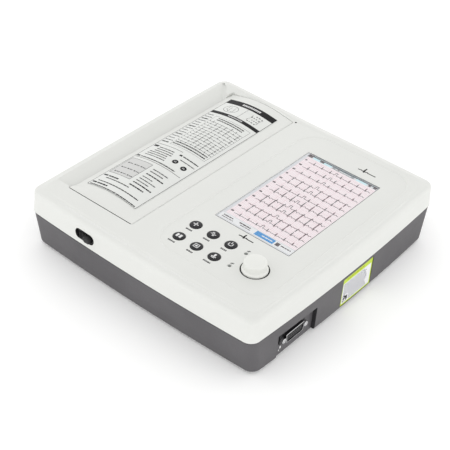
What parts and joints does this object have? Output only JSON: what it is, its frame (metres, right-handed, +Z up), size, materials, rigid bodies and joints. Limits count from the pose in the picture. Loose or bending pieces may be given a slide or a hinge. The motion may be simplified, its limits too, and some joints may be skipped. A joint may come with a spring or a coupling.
{
  "type": "ecg machine",
  "caption": "Flat desktop ECG recorder with a hinged paper door over a thermal printer, a portrait touch screen, round keys and a turning knob.",
  "frame": {"origin": "under the middle of the machine, on the surface its feet stand on", "axes": "+X towards the side with the patient connector, +Y away from the user, +Z up"},
  "size_m": [0.296, 0.3098, 0.0804],
  "materials": {
    "white_plastic": "fine satin",
    "dark_plastic": "fine matte texture",
    "printed_film": "printed film",
    "side_label": "printed film",
    "steel": "plain",
    "aluminium": "extruded",
    "brass": "plain",
    "platen_rubber": "ground",
    "foot_rubber": "moulded",
    "key_rubber": "moulded",
    "gear_plastic": "moulded",
    "tray_plastic": "moulded",
    "black_plastic": "satin",
    "key_plastic": "satin",
    "knob_plastic": "satin",
    "lamp_plastic": "clear",
    "head_ceramic": "glazed",
    "chart_paper": "uncoated",
    "screen_glass": "clear",
    "screen_picture": "lit screen",
    "circuit_board": "solder mask",
    "battery_wrap": "shrink film"
  },
  "bodies": {
    "machine": {"top_case": "white_plastic", "bottom_case": "dark_plastic", "hinge_pin_front": "steel", "hinge_pin_rear": "steel", "feed_motor": "steel", "thermal_head": "head_ceramic", "head_heatsink": "aluminium", "paper_tray": "tray_plastic", "touch_glass": "screen_glass", "lcd_module": "screen_picture", "lcd_bracket": "steel", "keypad_board": "circuit_board", "keypad_mat": "key_rubber", "lamp_front": "lamp_plastic", "lamp_rear": "lamp_plastic", "encoder_body": "black_plastic", "main_board": "circuit_board", "ecg_board": "circuit_board", "power_supply": "circuit_board", "battery_pack": "battery_wrap", "battery_cover": "dark_plastic", "speaker": "black_plastic", "connector_shell": "steel", "connector_insert": "black_plastic", "jackscrew_front": "steel", "jackscrew_rear": "steel", "rating_label": "side_label", "ac_inlet": "black_plastic", "power_switch": "black_plastic", "lan_port": "steel", "usb_port": "steel", "earth_post": "brass", "foot_front_left": "foot_rubber", "foot_front_right": "foot_rubber", "foot_rear_left": "foot_rubber", "foot_rear_right": "foot_rubber", "case_screw_front_left": "steel", "case_screw_front_right": "steel", "case_screw_rear_left": "steel", "case_screw_rear_right": "steel"},
    "door": {"paper_door": "white_plastic", "guide_label": "printed_film"},
    "platen": {"platen_roller": "platen_rubber", "platen_shaft": "steel", "platen_gear": "gear_plastic"},
    "feed_pinion": {"motor_pinion": "brass"},
    "paper_supply": {"paper_roll": "chart_paper", "roll_core": "black_plastic"},
    "latch": {"latch_slider": "black_plastic"},
    "key_front_left": {"key_front_left": "key_plastic"},
    "key_front_middle": {"key_front_middle": "key_plastic"},
    "key_front_right": {"key_front_right": "key_plastic"},
    "key_rear_left": {"key_rear_left": "key_plastic"},
    "key_rear_middle": {"key_rear_middle": "key_plastic"},
    "key_rear_right": {"key_rear_right": "key_plastic"},
    "knob_press": {"encoder_plunger": "gear_plastic"},
    "knob_dial": {"encoder_shaft": "steel", "jog_knob": "knob_plastic"},
    "rocker": {"power_rocker": "black_plastic"}
  },
  "joints": [
    {"name": "door_hinge", "type": "hinge", "parent": "machine", "child": "door", "pos_m": [-0.0365, 0.009, 0.0672], "axis": [0, 1, 0], "range_deg": [0, 78]},
    {"name": "platen_spin", "type": "hinge", "parent": "door", "child": "platen", "pos_m": [-0.111, 0, 0.059], "axis": [0, 1, 0], "continuous": true},
    {"name": "pinion_spin", "type": "hinge", "parent": "machine", "child": "feed_pinion", "pos_m": [-0.10048, 0.1163, 0.05517], "axis": [0, 1, 0], "continuous": true},
    {"name": "paper_spin", "type": "hinge", "parent": "machine", "child": "paper_supply", "pos_m": [-0.068, 0, 0.0318], "axis": [0, 1, 0], "continuous": true},
    {"name": "latch_slide", "type": "slide", "parent": "machine", "child": "latch", "axis": [-1, 0, 0], "range_m": [0, 0.005], "stiffness_N_per_m": 200, "springref_m": -0.002},
    {"name": "press_front_left", "type": "slide", "parent": "machine", "child": "key_front_left", "axis": [0, 0, -1], "range_m": [0, 0.0008], "stiffness_N_per_m": 600, "springref_m": -0.0004},
    {"name": "press_front_middle", "type": "slide", "parent": "machine", "child": "key_front_middle", "axis": [0, 0, -1], "range_m": [0, 0.0008], "stiffness_N_per_m": 600, "springref_m": -0.0004},
    {"name": "press_front_right", "type": "slide", "parent": "machine", "child": "key_front_right", "axis": [0, 0, -1], "range_m": [0, 0.0008], "stiffness_N_per_m": 600, "springref_m": -0.0004},
    {"name": "press_rear_left", "type": "slide", "parent": "machine", "child": "key_rear_left", "axis": [0, 0, -1], "range_m": [0, 0.0008], "stiffness_N_per_m": 600, "springref_m": -0.0004},
    {"name": "press_rear_middle", "type": "slide", "parent": "machine", "child": "key_rear_middle", "axis": [0, 0, -1], "range_m": [0, 0.0008], "stiffness_N_per_m": 600, "springref_m": -0.0004},
    {"name": "press_rear_right", "type": "slide", "parent": "machine", "child": "key_rear_right", "axis": [0, 0, -1], "range_m": [0, 0.0008], "stiffness_N_per_m": 600, "springref_m": -0.0004},
    {"name": "knob_push", "type": "slide", "parent": "machine", "child": "knob_press", "axis": [0, 0, -1], "range_m": [0, 0.0005], "stiffness_N_per_m": 2000, "springref_m": -0.0006},
    {"name": "knob_turn", "type": "hinge", "parent": "knob_press", "child": "knob_dial", "pos_m": [0.0946, -0.08755, 0.072], "axis": [0, 0, 1], "continuous": true},
    {"name": "rocker_tilt", "type": "hinge", "parent": "machine", "child": "rocker", "pos_m": [0.078, 0.14595, 0.023], "axis": [1, 0, 0], "range_deg": [-16, 0]}
  ],
  "couplings": [
    {"joint": "pinion_spin", "follows": "platen_spin", "ratio": -1.3333}
  ]
}
